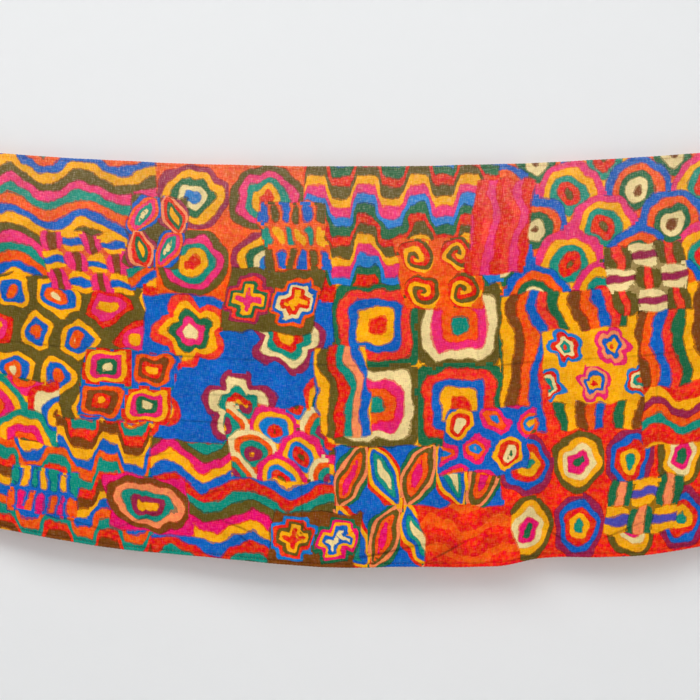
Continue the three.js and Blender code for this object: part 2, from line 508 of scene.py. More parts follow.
def ripples(sheet, block, size, first, second):
    """Wavy stripes across the block. size is the width of a stripe."""
    wave = 7.5 * size
    rise = 0.9 * np.sin(2 * math.pi * block.x / wave)
    rise = rise + 0.25 * np.sin(block.x / size + block.y / 40)
    paint(sheet, EVERYWHERE, block.y / size + rise + ABOVE_ZERO, first)


def reeds(sheet, block, size, first, second):
    """Wavy stripes down the block. size is the width of a stripe."""
    wave = 8 * size
    sway = 0.45 * np.sin(2 * math.pi * block.y / wave + block.x / 50)
    sway = sway + 0.2 * np.sin(block.y / (0.8 * size))
    paint(sheet, EVERYWHERE, block.x / size + sway + ABOVE_ZERO, first)


def keys(sheet, block, size, first, second):
    """Stripes that step up and down like battlements. size is the width of a stripe."""
    wave = 5.2 * size
    steepness = 2.4
    step = 1.1 * np.clip(steepness * np.sin(2 * math.pi * block.x / wave), -1, 1)
    paint(sheet, EVERYWHERE, block.y / size + step + ABOVE_ZERO, first)


def arches(sheet, block, size, first, second):
    """Nested arches in rows, each row over the foot of the one above it."""
    paint(sheet, EVERYWHERE, LAST, first)
    across = even(block.width, size)
    bands_wide = 4.6
    reach = across / 2
    for row in range(math.ceil(block.height / reach) + 2):
        aside = (row % 2) * reach
        column = np.floor((block.x.mean(-1, keepdims=True) - aside) / across)
        r = np.hypot(block.x - aside - (column + 0.5) * across, block.y - row * reach)
        band = np.clip((1 - r / reach) * bands_wide, FIRST, LAST)
        paint(sheet, reach - r, band, by_turns(column + row, first, second))


def flowers(sheet, block, size, first, second):
    """Five-petalled flowers, with their outline echoed round them."""
    x, y, column, row, across, down = block.grid(size, size, 0.5)
    angle = np.arctan2(y, x) + 0.7 * column + row
    petals = 5
    edge = 0.8 + 0.4 * np.abs(np.sin(petals / 2 * angle))
    bands_wide = 5.6
    band = bands_wide * np.hypot(x, y) / (0.5 * min(across, down) * edge)
    colours = by_turns(column + row, first, second)
    paint(sheet, EVERYWHERE, np.clip(band, FIRST, LAST), colours)


def leaves(sheet, block, size, first, second):
    """Rows of leaves that lean to and fro, with their outline echoed round them."""
    x, y, column, row, across, down = block.grid(0.62 * size, size)
    lean = by_turns(column + row, 0.42, -0.42)
    half_length = 0.56 * down
    half_width = 0.36 * across
    bands_wide = 3.2
    lengthways = (y * np.cos(lean) + x * np.sin(lean)) / half_length
    aside = np.abs(x * np.cos(lean) - y * np.sin(lean)) / half_width
    band = bands_wide - bands_wide * (1 - lengthways**2 - aside)
    colours = by_turns(column + row, first, second)
    paint(sheet, EVERYWHERE, np.clip(band, FIRST, LAST), colours)


def crosses(sheet, block, size, first, second):
    """Crosses, with their outline echoed round them."""
    x, y, column, row, across, down = block.grid(size, size, 0.5)
    x = np.abs(x)
    y = np.abs(y)
    arm = 0.34 * min(across, down)
    half_width = 0.13 * min(across, down)
    lying = np.minimum(arm - x, half_width - y)
    standing = np.minimum(half_width - x, arm - y)
    band = 2.3 - 2.1 * np.maximum(lying, standing) / half_width
    colours = by_turns(column + row, first, second)
    paint(sheet, EVERYWHERE, np.clip(band, FIRST, LAST), colours)


def baskets(sheet, block, size, first, second):
    """Three strips across and three strips down by turns, as in a woven basket."""
    across = even(block.width, size)
    down = even(block.height, size)
    strips = 3
    checks = np.sin(math.pi * block.x / across) * np.sin(math.pi * block.y / down)
    paint(sheet, EVERYWHERE, strips * block.y / down + ABOVE_ZERO, first)
    paint(sheet, checks * across / math.pi, strips * block.x / across + ABOVE_ZERO, second)


def pills(sheet, block, size, first, second):
    """Short bars with round ends, in rows, in the first four inks on the last."""
    paint(sheet, EVERYWHERE, LAST, first)
    x, y, column, row, across, down = block.grid(size, 2.4 * size)
    half_width = 0.36 * across
    straight = 0.5 * down - 0.52 * across
    cut = half_width - np.hypot(x, np.maximum(np.abs(y) - straight, 0))
    paint(sheet, cut, (2 * column + 3 * row) % 4 + 0.5, first)


def spirals(sheet, block, size, first, second):
    """Coils of three inks on a plain ground."""
    bands_wide = 4.2
    paint(sheet, EVERYWHERE, LAST, first)
    x, y, column, row, across, down = block.grid(size, size)
    middle = np.arctan2(y.mean(-1, keepdims=True), x.mean(-1, keepdims=True))
    turn = (np.arctan2(y, x) - middle + math.pi) % (2 * math.pi) - math.pi
    r = np.hypot(x, y)
    reach = 0.48 * min(across, down)
    band = bands_wide * r / reach + 3 * (middle + turn) / (2 * math.pi) + ABOVE_ZERO
    paint(sheet, reach - r, band, second)


def squares(sheet, block, size, first, second):
    """Nested squares with soft corners."""
    bands_across = 9.2
    squareness = 5
    x, y, column, row, across, down = block.grid(size, size)
    soft = np.abs(x / across) ** squareness + np.abs(y / down) ** squareness
    band = np.clip(bands_across * soft ** (1 / squareness), FIRST, LAST)
    paint(sheet, EVERYWHERE, band, by_turns(column + row, first, second))


def pebbles(sheet, block, size, first, second):
    """Uneven stones close together, with a line between them."""
    row_height = 0.86
    uneven = 0.2
    band_width = 0.2 * size
    stones = []
    for row in range(-1, int(block.height / size) + 3):
        for column in range(-1, int(block.width / size) + 2):
            x = (column + 0.5 + 0.5 * (row % 2)) * size
            stones.append((x, (row + 0.5) * row_height * size))
    stones = np.array(stones) + painting_hand.uniform(-uneven, uneven, (len(stones), 2)) * size
    right = block.x[..., None] - stones[:, 0]
    below = block.y[..., None] - stones[:, 1]
    away = np.hypot(right, below)
    own = away.mean(2).argmin(-1)[..., None]
    nearest = np.sort(away, -1)
    band = np.clip((nearest[..., 1] - nearest[..., 0]) / band_width, FIRST, INNER_LAST)
    paint(sheet, EVERYWHERE, band, np.where(own % 3 == 0, first, second))


# The blocks of one repeat, in mm from its top left corner, in the order in which they are laid: a
# ground of large blocks edge to edge, and then smaller ones that lean over their joins.
# Columns: left, top, width, height, lean (how far the foot lies to the right of the head), motif,
# size of the motif, its inks, and its other inks, which stripes and bars don't use.
PATCHWORK = [
    (0, 0, 205, 160, 0, ripples, 12.5, "blue amber olive pink teal orange", "red"),
    (205, 0, 185, 170, 0, rings, 86,
     "red amber teal pink olive orange", "sky cream green amber wine orange"),
    (390, 0, 250, 150, 0, keys, 12.5, "red olive amber pink sky green", "red"),
    (640, 0, 260, 165, 0, arches, 87,
     "pink amber teal red olive olive", "blue orange green cream umber olive"),
    (0, 160, 190, 180, 0, pebbles, 58,
     "olive red pink amber teal red", "olive amber blue orange cream pink"),
    (190, 170, 240, 185, 0, flowers, 110,
     "amber red teal cream wine blue", "cream pink green amber coral blue"),
    (430, 150, 210, 200, 0, squares, 100,
     "teal orange pink cream olive amber", "red amber blue coral green amber"),
    (640, 165, 260, 175, 0, reeds, 13, "amber umber orange blue coral green", "red"),
    (0, 340, 200, 160, 0, keys, 12.5, "coral umber amber blue orange teal", "red"),
    (200, 355, 230, 145, 0, ripples, 13, "olive pink amber blue red teal", "red"),
    (430, 350, 210, 150, 0, leaves, 75,
     "cream teal blue amber red blue", "pink orange olive peach green blue"),
    (640, 340, 260, 160, 0, rings, 65,
     "green pink cream amber olive coral", "teal amber red blue wine coral"),
    (66, 98, 104, 76, 16, baskets, 26, "amber blue amber", "pink umber pink"),
    (170, 44, 72, 92, -14, leaves, 60,
     "amber green red peach wine olive", "cream teal pink orange blue olive"),
    (338, 46, 84, 86, 12, pills, 14, "blue amber olive teal pink orange", "red"),
    (292, 132, 118, 80, -18, crosses, 60,
     "amber red cream blue orange olive", "pink amber green coral wine olive"),
    (512, 92, 104, 88, 14, spirals, 52, "orange", "olive amber red olive amber red"),
    (602, 20, 74, 118, -12, reeds, 11, "red coral pink", "red"),
    (776, 110, 100, 86, 14, baskets, 30, "cream wine cream", "olive coral olive"),
    (112, 244, 116, 92, -14, squares, 56,
     "amber red umber orange blue teal", "cream green pink amber red teal"),
    (0, 296, 84, 82, 0, arches, 80,
     "red cream blue amber umber umber", "teal amber pink orange green green"),
    (296, 304, 122, 92, 14, arches, 62,
     "pink amber sky red olive olive", "cream orange teal wine amber olive"),
    (408, 226, 66, 112, 10, reeds, 11, "amber olive red teal peach blue", "red"),
    (566, 306, 112, 80, -14, pebbles, 42,
     "blue amber red cream green amber", "blue pink orange sky amber red"),
    (694, 214, 120, 92, 12, flowers, 60,
     "red amber blue peach pink amber", "coral teal cream red sky amber"),
    (816, 292, 84, 74, 0, ripples, 11, "red amber wine orange teal coral", "red"),
    (144, 404, 104, 70, 12, rings, 72,
     "blue cream red amber green pink", "amber wine teal peach umber pink"),
    (350, 432, 112, 68, -12, crosses, 56,
     "cream blue amber pink green umber", "red amber olive coral sky umber"),
    (540, 424, 116, 76, 14, ripples, 11, "coral red orange", "red"),
    (772, 404, 92, 68, -10, baskets, 31, "amber violet amber", "green peach green"),
    (20, 410, 88, 62, -10, pills, 13, "teal pink amber orange cream blue", "red"),
]

patchwork = blank()
for left, top, width, height, lean, motif, size, first, second in PATCHWORK:
    block = Block(left, top, width, height, lean)
    patch = blank()
    motif(patch, block, size, inks(first), inks(second))
    join(patchwork, block.area, patch)

# The repeat runs twice along the scarf, set so that one whole repeat lies in the middle.
for name, cells in patchwork.items():
    patchwork[name] = np.roll(np.tile(cells, (1, 2, 1)), -PRINT_COLUMNS // 2, axis=1)


# The printed cotton: plain-weave cotton voile, screen printed with pigment and washed. It is matt,
# its slubby yarns show as a fine crosshatch, neighbouring inks overlap in a thin line, and sharp
# folds show as fine dark lines of painted shade with a bump. The colour is paled towards the top edge
# as painted light. The yarns are drawn three times as coarse as they are.
YARN = 0.9
YARN_DEPTH = 0.10
SLUB = 8.0
PALE_YARN_AND_LIGHT = "#EADCC6"
UNPRINTED = "#E9D5BE"
COTTON_ROUGHNESS = 0.86
COTTON_IOR = 1.5
COTTON_SPECULAR = 0.12
COTTON_SHEEN = 0.02

# The weave's noise runs from LOW, the gaps between yarns, over MIDDLE to HIGH, a slub.
WEAVE_LOW = 0.6
WEAVE_MIDDLE = 1.05
WEAVE_HIGH = 1.4
GAP_SHADE = 0.74

# The inks' rough edges: how many grains to a mm, and how far they stray from an outline in mm, and
# from the edge of a band in widths of a band. Two inks overlap by OVERLAP mm to each side of their
# edge, where OVERPRINT is how much one darkens the other. BAND_PER_MM is a mm in widths of a band.
EDGE_GRAIN = 0.16
ROUGH_EDGE = 1.5
ROUGH_BAND = 0.18
OVERLAP = 0.8
BAND_PER_MM = 0.09
OVERPRINT = 0.55

# The inks' uneven tone and hue: how many grains to a mm, the middle part of the noise that is used,
# and what its two ends do to an ink. Then the saturation at the cloth's top and lower edge, lower at
# the top as painted light shining through the thin cloth.
TONE_GRAIN = 0.028
NOISE_ENDS = (0.3, 0.7)
TONE_ENDS = (0.85, 1.20)
HUE_ENDS = (0.490, 0.509)
PAINTED_LIGHT_SATURATION_ENDS = (1.01, 1.06)

# Painted light at the top edge, where wall light would shine through the thin cloth: how far down the
# colour is paled, how much pale colour is mixed in at the top edge, and how much of the pale yarn
# shows in the rest of the cloth and at the top edge, where the extra is the same painted light.
PAINTED_LIGHT_REACH = 150
PAINTED_LIGHT_PALENESS = 0.058
PALE_ENDS = (0.08, 0.30)

# The fine line along a fold: its half width in mm, how deep its bump looks, and how dark its painted
# shade is.
CREASE_LINE = 1.4
CREASE_DEPTH = 0.9
CREASE_SHADE = 0.55


def linear(hex_colour):
    """An sRGB hex colour as the linear colour that a shader takes, by the sRGB standard's curve."""
    parts = [int(hex_colour[k : k + 2], 16) / 255 for k in (1, 3, 5)]
    return (*[c / 12.92 if c <= 0.04045 else ((c + 0.055) / 1.055) ** 2.4 for c in parts], 1)


def add(tree, kind, inputs=None, out=0, **settings):
    """Adds a node with its settings and links. Gives one output, or the node where out is None."""
    made = tree.nodes.new(kind)
    for name, value in settings.items():
        setattr(made, name, value)
    for name, value in (inputs or {}).items():
        if isinstance(value, bpy.types.NodeSocket):
            tree.links.new(value, made.inputs[name])
        else:
            made.inputs[name].default_value = value
    return made if out is None else made.outputs[out]


def printed_cotton(name, show_through):
    """The printed cloth. show_through is how much of the plain cloth shows over the inks."""
    material = bpy.data.materials.new(name)
    material.use_nodes = True
    tree = material.node_tree
    tree.nodes.clear()

    flat = add(tree, "ShaderNodeAttribute", out="Vector", attribute_name="flat")
    rough = {"Vector": flat, "Scale": EDGE_GRAIN, "Detail": 3.0, "Roughness": 0.6}
    rough = add(tree, "ShaderNodeTexNoise", rough, "Color", noise_dimensions="2D")
    rough = add(tree, "ShaderNodeSeparateColor", {0: rough}, None).outputs
    ragged = {0: rough[0], 1: 2 * ROUGH_EDGE, 2: -ROUGH_EDGE}
    ragged = add(tree, "ShaderNodeMath", ragged, operation="MULTIPLY_ADD")
    sway = {0: rough[1], 1: 2 * ROUGH_BAND, 2: -ROUGH_BAND}
    sway = add(tree, "ShaderNodeMath", sway, operation="MULTIPLY_ADD")
    layers = add(tree, "ShaderNodeAttribute", out="Vector", attribute_name="layers")
    layers = add(tree, "ShaderNodeSeparateXYZ", {0: layers}, None).outputs
    cut = add(tree, "ShaderNodeMath", {0: layers["Z"], 1: ragged}, operation="ADD")
    cycles = {}
    for half in ("first", "second"):
        for layer in ("ground", "figure"):
            title = f"{layer}_{half}"
            cycles[title] = add(tree, "ShaderNodeAttribute", out="Vector", attribute_name=title)

    # The ink at a place, looked up a little to each side of it, so that a meeting of inks is found.
    sides = []
    for side in (OVERLAP, -OVERLAP):
        on_figure = add(tree, "ShaderNodeMath", {0: cut, 1: -side}, operation="GREATER_THAN")
        band = add(tree, "ShaderNodeMix", {0: on_figure, "A": layers["X"], "B": layers["Y"]})
        band = add(tree, "ShaderNodeMath", {0: band, 1: sway}, operation="ADD")
        band = add(tree, "ShaderNodeMath", {0: band, 1: BAND_PER_MM * side}, operation="ADD")
        band = add(tree, "ShaderNodeMath", {0: band}, operation="FLOOR")
        band = add(tree, "ShaderNodeMath", {0: band, 1: BANDS}, operation="FLOORED_MODULO")
        choice = []
        for half in ("first", "second"):
            pair = {0: on_figure, 4: cycles[f"ground_{half}"], 5: cycles[f"figure_{half}"]}
            picked = add(tree, "ShaderNodeMix", pair, 1, data_type="VECTOR")
            choice += list(add(tree, "ShaderNodeSeparateXYZ", {0: picked}, None).outputs)
        number = choice[0]
        for k in range(1, BANDS):
            reached = add(tree, "ShaderNodeMath", {0: band, 1: k - 0.5}, operation="GREATER_THAN")
            number = add(tree, "ShaderNodeMix", {0: reached, "A": number, "B": choice[k]})
        place = {0: number, 1: 1 / len(INKS), 2: 0.5 / len(INKS)}
        place = add(tree, "ShaderNodeMath", place, operation="MULTIPLY_ADD")
        ramp = add(tree, "ShaderNodeValToRGB", {0: place}, None)
        ramp.color_ramp.interpolation = "CONSTANT"
        for k, colour in enumerate(INKS.values()):
            stops = ramp.color_ramp.elements
            stop = stops[k] if k < 2 else stops.new(k / len(INKS))
            stop.position = k / len(INKS)
            stop.color = linear(colour)
        sides.append((number, ramp.outputs["Color"]))

    alike = {0: sides[0][0], 1: sides[1][0], 2: 0.5}
    alike = add(tree, "ShaderNodeMath", alike, operation="COMPARE")
    both = {0: 0.5, 6: sides[0][1], 7: sides[1][1]}
    both = add(tree, "ShaderNodeMix", both, 2, data_type="RGBA")
    overprint = {0: OVERPRINT, 6: both, 7: both}
    overprint = add(tree, "ShaderNodeMix", overprint, 2, data_type="RGBA", blend_type="MULTIPLY")
    ink = {0: alike, 6: overprint, 7: sides[0][1]}
    ink = add(tree, "ShaderNodeMix", ink, 2, data_type="RGBA")

    # Painted light: towards the top edge the colour is paled and made less saturated, as if light
    # shone through the thin cloth there.
    down = add(tree, "ShaderNodeSeparateXYZ", {0: flat}, "Y")
    painted_light_at_top = {"Value": down, "From Min": 0.0, "From Max": PAINTED_LIGHT_REACH, "To Min": 1.0, "To Max": 0.0}
    painted_light_at_top = add(tree, "ShaderNodeMapRange", painted_light_at_top)
    # Painted light: the saturation is lower towards the top edge.
    strength = {"Value": down, "From Min": 0.0, "From Max": CLOTH_WIDTH}
    strength |= {"To Min": PAINTED_LIGHT_SATURATION_ENDS[0], "To Max": PAINTED_LIGHT_SATURATION_ENDS[1]}
    strength = add(tree, "ShaderNodeMapRange", strength)

    # The brush's uneven tone, over some 4 cm and in smaller blots within that.
    noise_ends = {"From Min": NOISE_ENDS[0], "From Max": NOISE_ENDS[1]}
    tone = {"Vector": flat, "Scale": TONE_GRAIN, "Detail": 5.0, "Roughness": 0.66}
    tone = add(tree, "ShaderNodeTexNoise", tone, noise_dimensions="2D")
    tone = {"Value": tone, **noise_ends, "To Min": TONE_ENDS[0], "To Max": TONE_ENDS[1]}
    tone = add(tree, "ShaderNodeMapRange", tone)
    hue = {"Value": rough[2], **noise_ends, "To Min": HUE_ENDS[0], "To Max": HUE_ENDS[1]}
    hue = add(tree, "ShaderNodeMapRange", hue)
    tone = {"Hue": hue, "Saturation": strength, "Value": tone, "Color": ink}
    colour = add(tree, "ShaderNodeHueSaturation", tone)

    # Weft and warp, each a noise drawn out along its yarns.
    yarns = []
    for along, across in ((1 / SLUB, 1 / YARN), (1 / YARN, 1 / SLUB)):
        stretched = add(tree, "ShaderNodeMapping", {"Vector": flat, "Scale": (along, across, 1)})
        noise = {"Vector": stretched, "Scale": 1.0, "Detail": 1.0}
        yarns.append(add(tree, "ShaderNodeTexNoise", noise, noise_dimensions="2D"))
    weave = add(tree, "ShaderNodeMath", {0: yarns[0], 1: yarns[1]}, operation="ADD")
    most = {0: painted_light_at_top, 1: PALE_ENDS[1] - PALE_ENDS[0], 2: PALE_ENDS[0]}
    most = add(tree, "ShaderNodeMath", most, operation="MULTIPLY_ADD")
    pale = {"Value": weave, "From Min": WEAVE_MIDDLE, "From Max": WEAVE_HIGH}
    pale |= {"To Min": 0.0, "To Max": most}
    pale = add(tree, "ShaderNodeMapRange", pale)
    # Painted light: extra pale colour towards the top edge.
    pale = {0: painted_light_at_top, 1: PAINTED_LIGHT_PALENESS, 2: pale}
    pale = add(tree, "ShaderNodeMath", pale, operation="MULTIPLY_ADD")
    colour = {0: pale, 6: colour, 7: linear(PALE_YARN_AND_LIGHT)}
    colour = add(tree, "ShaderNodeMix", colour, 2, data_type="RGBA")
    gaps = {"Value": weave, "From Min": WEAVE_LOW, "From Max": WEAVE_MIDDLE}
    gaps |= {"To Min": GAP_SHADE, "To Max": 1.0}
    gaps = add(tree, "ShaderNodeMapRange", gaps)

    # The fine line of painted shade along a sharp fold: how far away it is, and how strong it is
    # there.
    crease = add(tree, "ShaderNodeAttribute", out="Vector", attribute_name="crease")
    crease = add(tree, "ShaderNodeSeparateXYZ", {0: crease}, None).outputs
    line = add(tree, "ShaderNodeMath", {0: crease["X"], 1: 2.0}, operation="POWER")
    line = add(tree, "ShaderNodeMath", {0: line, 1: -1 / CREASE_LINE**2}, operation="MULTIPLY")
    line = add(tree, "ShaderNodeMath", {0: line}, operation="EXPONENT")
    line = add(tree, "ShaderNodeMath", {0: line, 1: crease["Y"]}, operation="MULTIPLY")
    # Painted shade: the fine line darkens the colour along a fold, and the gaps between yarns darken
    # it too.
    shade = {0: line, 1: -CREASE_SHADE, 2: 1.0}
    shade = add(tree, "ShaderNodeMath", shade, operation="MULTIPLY_ADD")
    shade = add(tree, "ShaderNodeMath", {0: shade, 1: gaps}, operation="MULTIPLY")
    colour = add(tree, "ShaderNodeHueSaturation", {"Value": shade, "Color": colour})
    if show_through:
        colour = {0: show_through, 6: colour, 7: linear(UNPRINTED)}
        colour = add(tree, "ShaderNodeMix", colour, 2, data_type="RGBA")

    height = add(tree, "ShaderNodeMath", {0: weave, 1: YARN_DEPTH}, operation="MULTIPLY")
    height = {0: line, 1: -CREASE_DEPTH, 2: height}
    height = add(tree, "ShaderNodeMath", height, operation="MULTIPLY_ADD")
    relief = add(tree, "ShaderNodeBump", {"Strength": 1.0, "Distance": MM, "Height": height})
    finish = {
        "Base Color": colour,
        "Roughness": COTTON_ROUGHNESS,
        "IOR": COTTON_IOR,
        "Specular IOR Level": COTTON_SPECULAR,
        "Sheen Weight": COTTON_SHEEN,
        "Sheen Roughness": 0.5,
        "Normal": relief,
    }
    surface = add(tree, "ShaderNodeBsdfPrincipled", finish)
    add(tree, "ShaderNodeOutputMaterial", {"Surface": surface}, None)
    return material


# The cloth itself: one sheet of the printed cotton, 0.6 mm thick here so that it has two faces.
# It was cut from a wider cloth with a centimetre more on each side, which is rolled into the hems.
HEM_WIDTH = 4
SEAM_GAP = 0.4
HEM_INSET = HEM_WIDTH + SEAM_GAP
SHELL = 0.6
SHOW_THROUGH_ON_BACK = 0.34

# A fold shows as a line of painted shade where its lower side is narrower than SHARP_SIDE. The line
# lies on that side, fades out more slowly than the fold does, and is stronger on a deeper fold.
SHARP_SIDE = 7
LINE_PLACE = 0.8
LINE_FADE = 0.8
LEAST_LINE = 0.35
FULL_LINE_DEPTH = 4

# The storage creases' lines of painted shade: an upright one's strength for each mm of its depth, and
# the long one's, which is fainter in places, with how much it varies and the length of those waves
# over 2 pi.
UPRIGHT_LINE = 0.5
LONG_LINE = 0.42
LONG_LINE_UNEVEN = 0.3
LONG_LINE_WAVES = (47, 19)

# A cell shows one line only: the strongest there, where each one's claim fades over CREASE_REACH.
CREASE_REACH = 4


def lattice(ends, steps):
    """The lattice's lines from edge to edge. The second and last but one lie where a hem ends."""
    inner = np.linspace(ends[0] + HEM_INSET, ends[1] - HEM_INSET, steps - 1)
    return np.array([ends[0], *inner, ends[1]])


def keep(mesh, domain, title, values):
    """Stores three numbers for each point, corner or face of a mesh, which the material reads."""
    held = mesh.attributes.new(title, "FLOAT_VECTOR", domain)
    held.data.foreach_set("vector", np.ascontiguousarray(values, np.float32).ravel())


def printed_mesh(name, points, flat, cells, closed):
    """A mesh of quads through a grid of points, with each cell's layers of the print."""
    row_count, column_count = points.shape[:2]
    number = np.arange(row_count * column_count).reshape(row_count, column_count)
    if closed:
        number = np.concatenate([number, number[:1]])
    faces = corners(number).reshape(-1, 4)
    mesh = bpy.data.meshes.new(name)
    mesh.from_pydata(points.reshape(-1, 3).tolist(), [], faces.tolist())
    mesh.shade_smooth()
    flat_3d = np.concatenate([flat, np.zeros((*flat.shape[:2], 1))], -1)
    keep(mesh, "POINT", "flat", flat_3d)
    layers = np.stack([cells["ground"], cells["figure"], cells["cut"]], -1)
    keep(mesh, "CORNER", "layers", layers)
    for layer in ("ground", "figure"):
        cycle = cells[f"{layer}_inks"]
        keep(mesh, "FACE", f"{layer}_first", cycle[..., :3])
        keep(mesh, "FACE", f"{layer}_second", cycle[..., 3:])
    piece = bpy.data.objects.new(name, mesh)
    bpy.context.scene.collection.objects.link(piece)
    return piece


def crease_lines(along, down):
    """For each cell's corners, how far away the cell's own line of painted shade is, and how strong
    it is there.
    """
    lines = []
    for fold in FOLDS:
        reach, upper, lower, depth = fold[3:]
        if lower < SHARP_SIDE:
            lengthways, across = fold_place(fold, along, down)
            strength = min(1, LEAST_LINE + abs(depth) / FULL_LINE_DEPTH)
            fading = bell(LINE_FADE * lengthways / reach)
            lines.append((across + LINE_PLACE * lower, strength * fading))
    for place, level, reach, depth in UPRIGHT_CREASES:
        across = beside_upright_crease(place, along, down)
        lines.append((across, UPRIGHT_LINE * abs(depth) * bell((down - level) / reach)))
    long, short = LONG_LINE_WAVES
    strength = LONG_LINE + LONG_LINE_UNEVEN * np.sin(along / long) * np.sin(along / short)
    lines.append((below_long_crease(along, down), strength))
    away = np.stack([line[0] for line in lines])
    strength = np.stack([line[1] for line in lines])
    weight = strength.mean(-1) * np.exp(-np.abs(away.mean(-1)) / CREASE_REACH)
    own = weight.argmax(0)[None, ..., None]
    found = [np.take_along_axis(part, own, 0)[0] for part in (away, strength)]
    return np.stack([*found, np.zeros_like(found[0])], -1)


along_lines = lattice((-CLOTH_LENGTH / 2, CLOTH_LENGTH / 2), 2 * PRINT_COLUMNS)
down_lines = lattice((0, CLOTH_WIDTH), PRINT_ROWS)
along_grid, down_grid = np.meshgrid(along_lines[1:-1], down_lines[1:-1])
panel_cells = {name: cells[1:-1, 1:-1] for name, cells in patchwork.items()}
cloth = printed_mesh(
    "scarf_cloth",
    cloth_point(along_grid, down_grid),
    np.stack([along_grid, down_grid], -1),
    panel_cells,
    closed=False,
)
creases = crease_lines(corners(along_grid), corners(down_grid))
keep(cloth.data, "CORNER", "crease", creases)
cloth.data.materials.append(printed_cotton("printed_cotton_face", 0.0))
cloth.data.materials.append(printed_cotton("printed_cotton_back", SHOW_THROUGH_ON_BACK))
shell = cloth.modifiers.new("two_faces", "SOLIDIFY")
shell.thickness = SHELL * MM
shell.offset = 0
shell.material_offset = 1

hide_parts("cloth_panel")
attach(cloth, "root")

# The rolled hems: the cut edge turned over twice into a thin roll, on all four sides, in the same
# printed cloth, so each hem goes on with the print beside it. The stitches nip it a little all along.
HEM_THICKNESS = 1.8
HEM_POINTS = 12
HEM_STEP = 1.5

# The roll is HEM_TUCK wider than the hem, over the cloth's edge, and lies HEM_SET_BACK behind it.
HEM_TUCK = 0.8
HEM_SET_BACK = 0.55
WELD_DISTANCE = 0.002

# How far apart the stitches are, and how much each one nips the roll in, and how sharply.
STITCH_PITCH = 5.0
NIP = 0.14
NIP_SHARPNESS = 5

# Unevenness of the roll: its share of the thickness, and its long and short waves' lengths over
# 2 pi.
ROLL_UNEVEN = 0.07
LONG_ROLL_WAVE = 23
SHORT_ROLL_WAVE = 9.1

# The four hems. Columns: side, where it starts (down the cloth, or along it for an upright one),
# which way the cloth lies from the scarf's edge, and whether the hem is upright.
HEMS = [
    ("top", 0, 1, False),
    ("bottom", CLOTH_WIDTH - HEM_WIDTH, -1, False),
    ("left", -CLOTH_LENGTH / 2, 1, True),
    ("right", CLOTH_LENGTH / 2 - HEM_WIDTH, -1, True),
]


def print_under(along, down):
    """The layers of the print for faces whose four corners lie at these places of the flat cloth."""
    u = np.clip((along + CLOTH_LENGTH / 2) / CELL, 0, 2 * PRINT_COLUMNS)
    v = np.clip(down * PRINT_ROWS / CLOTH_WIDTH, 0, PRINT_ROWS)
    column = np.clip(np.floor(u.mean(-1)).astype(int), 0, 2 * PRINT_COLUMNS - 1)
    row = np.clip(np.floor(v.mean(-1)).astype(int), 0, PRINT_ROWS - 1)
    u = u - column[..., None]
    v = v - row[..., None]
    found = {}
    for name, cells in patchwork.items():
        here = cells[row, column]
        if not name.endswith("_inks"):
            upper = here[..., 0:1] * (1 - u) + here[..., 3:4] * u
            lower = here[..., 1:2] * (1 - u) + here[..., 2:3] * u
            here = upper * (1 - v) + lower * v
        found[name] = here
    return found


def weld(mesh):
    """Joins the points that lie on each other where a tube closes to a tip."""
    welded = bmesh.new()
    welded.from_mesh(mesh)
    bmesh.ops.remove_doubles(welded, verts=welded.verts, dist=WELD_DISTANCE * MM)
    bmesh.ops.dissolve_degenerate(welded, edges=welded.edges, dist=WELD_DISTANCE * MM)
    welded.to_mesh(mesh)
    welded.free()


def stitches_start(upright):
    """Where the stitched stretch of a hem starts, clear of the hem that it meets at the corner."""
    return HEM_INSET if upright else HEM_INSET - CLOTH_LENGTH / 2


def rolled_hem(name, near, inward, upright):
    """One hem, in the columns of HEMS. Its stitches nip it in, one every STITCH_PITCH."""
    if upright:
        ends = (CLOTH_WIDTH - HEM_INSET, HEM_INSET)
    else:
        ends = (-CLOTH_LENGTH / 2, CLOTH_LENGTH / 2)
    length = abs(ends[1] - ends[0])
    places = np.linspace(*ends, round(length / HEM_STEP) + 1)
    run = np.abs(places - ends[0])
    uneven = np.sin(run / LONG_ROLL_WAVE) + 0.6 * np.sin(run / SHORT_ROLL_WAVE + 1)
    uneven = 1 + ROLL_UNEVEN * uneven
    from_stitch = places - stitches_start(upright) - STITCH_PITCH / 2
    nip = 1 - NIP * np.abs(np.cos(math.pi * from_stitch / STITCH_PITCH)) ** NIP_SHARPNESS
    full = uneven * nip
    full[[0, -1]] = 0
    angle = 2 * math.pi * (np.arange(HEM_POINTS) + 0.5) / HEM_POINTS
    half = HEM_WIDTH / 2
    middle = near + half + inward * HEM_TUCK / 2
    across = middle - np.outer(np.cos(angle), full) * (half + HEM_TUCK / 2)
    out = np.outer(np.sin(angle), full) * HEM_THICKNESS / 2 - HEM_SET_BACK
    along, down = np.broadcast_arrays(places, across)
    if upright:
        along, down = down, along
    piece = printed_mesh(
        name,
        cloth_point_out(along, down, out),
        np.stack([along, down], -1),
        print_under(*(corners(np.concatenate([x, x[:1]])) for x in (along, down))),
        closed=True,
    )
    weld(piece.data)
    piece.data.materials.append(rolled_cotton)
    return piece


rolled_cotton = printed_cotton("rolled_printed_cotton", 0.0)
for side, near, inward, upright in HEMS:
    hem = rolled_hem(f"scarf_hem_{side}", near, inward, upright)
    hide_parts(f"hem_{side}")
    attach(hem, "root")

# The stitches: two-ply cotton sewing thread in a coral that goes with the print. Slanting slip
# stitches, each from the cloth up onto the roll, one every 5 mm on both faces of the scarf.
THREAD_RADIUS = 0.11
STITCH_SIDES = 6
STITCH_LEAN = 1.3
CORAL_THREAD = "#E9604A"
THREAD_GROOVE_SHADE = "#B93A2E"
PLY_GRAIN = 900.0
PLY_DEPTH = 0.05
THREAD_ROUGHNESS = 0.7
THREAD_SHEEN = 0.2

